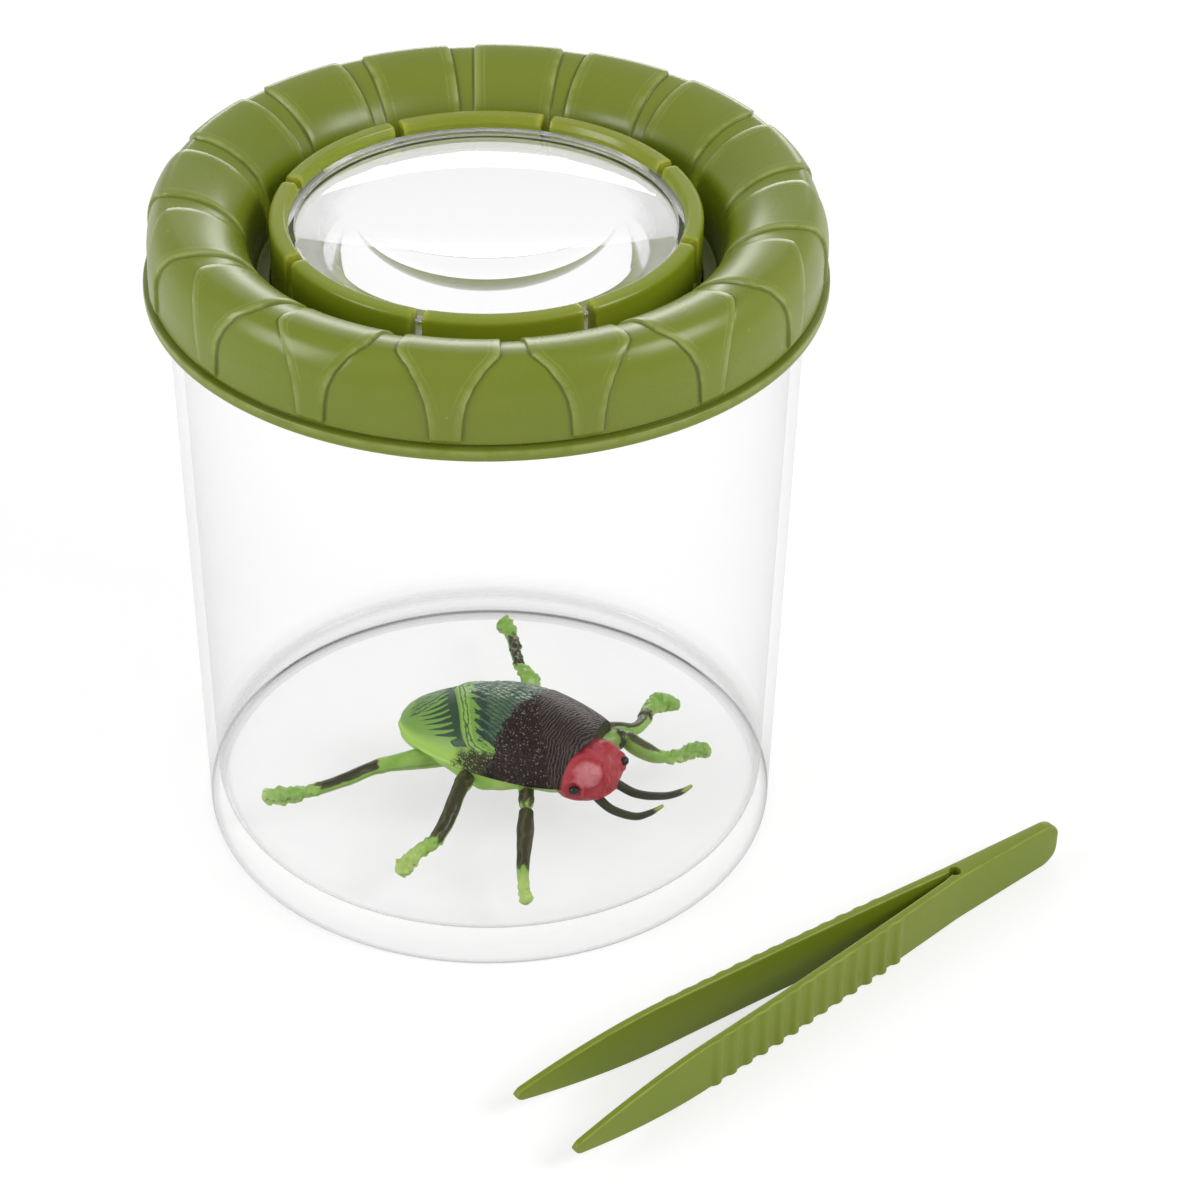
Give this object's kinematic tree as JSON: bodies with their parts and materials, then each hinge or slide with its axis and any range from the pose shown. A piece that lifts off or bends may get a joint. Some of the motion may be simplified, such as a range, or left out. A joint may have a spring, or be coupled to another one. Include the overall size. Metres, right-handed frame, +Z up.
{
  "type": "bug catcher jar",
  "caption": "Clear round jar with a push-on petalled lid that holds a magnifying lens, a toy beetle on its floor and a pair of ribbed tweezers lying beside it.",
  "frame": {"origin": "centre of the jar's foot, on the surface that it stands on", "axes": "+Z up along the jar's axis, +X to the viewer's right, +Y away from the viewer, who has the tweezers in front and to the right"},
  "size_m": [0.1573, 0.1561, 0.1227],
  "materials": {
    "clear_plastic": "clear moulded plastic, glossy",
    "lens_plastic": "clear polished plastic lens",
    "lid_green": "satin moulded plastic, olive green",
    "clip_green": "satin moulded plastic, yellower olive green",
    "tweezers_green": "satin moulded plastic, olive green",
    "toy_lime": "soft translucent lime plastic",
    "toy_leaf": "painted leaf green with dark veins",
    "toy_dark": "dark brown paint on pebbled plastic",
    "toy_red": "red paint",
    "toy_black": "glossy black paint"
  },
  "bodies": {
    "jar": {"jar_body": "clear_plastic"},
    "lid": {"lid_cap": "lid_green", "lens_clip_ring": "clip_green", "lens": "lens_plastic"},
    "beetle": {"beetle_belly": "toy_lime", "beetle_wing_cases": "toy_leaf", "beetle_thorax": "toy_dark", "beetle_head": "toy_red", "beetle_eye_left": "toy_black", "beetle_eye_right": "toy_black", "beetle_horn_left": "toy_dark", "beetle_horn_right": "toy_dark", "beetle_leg_fore_left": "toy_lime", "beetle_leg_fore_right": "toy_lime", "beetle_leg_mid_left": "toy_lime", "beetle_leg_mid_right": "toy_lime", "beetle_leg_hind_left": "toy_lime", "beetle_leg_hind_right": "toy_lime"},
    "tweezers": {"tweezers_tail": "tweezers_green"},
    "tweezers_arm_front": {"tweezers_arm_front": "tweezers_green"},
    "tweezers_arm_back": {"tweezers_arm_back": "tweezers_green"}
  },
  "joints": [
    {"name": "lid_lift", "type": "slide", "parent": "jar", "child": "lid", "axis": [0, 0, 1], "range_m": [0, 0.06]},
    {"name": "beetle_lift", "type": "slide", "parent": "jar", "child": "beetle", "axis": [0, 0, 1], "range_m": [0, 0.05]},
    {"name": "tweezers_lift", "type": "slide", "parent": "jar", "child": "tweezers", "axis": [0, 0, 1], "range_m": [0, 0.05]},
    {"name": "arm_back_squeeze", "type": "hinge", "parent": "tweezers", "child": "tweezers_arm_back", "pos_m": [0.07968, -0.03662, 0.0049], "axis": [0, 0, 1], "range_deg": [0, 4.2], "stiffness_Nm_per_rad": 1},
    {"name": "arm_front_squeeze", "type": "hinge", "parent": "tweezers", "child": "tweezers_arm_front", "pos_m": [0.08152, -0.03898, 0.0049], "axis": [0, 0, -1], "range_deg": [0, 4.2], "stiffness_Nm_per_rad": 1}
  ],
  "couplings": [
    {"joint": "arm_front_squeeze", "follows": "arm_back_squeeze", "ratio": 1}
  ]
}
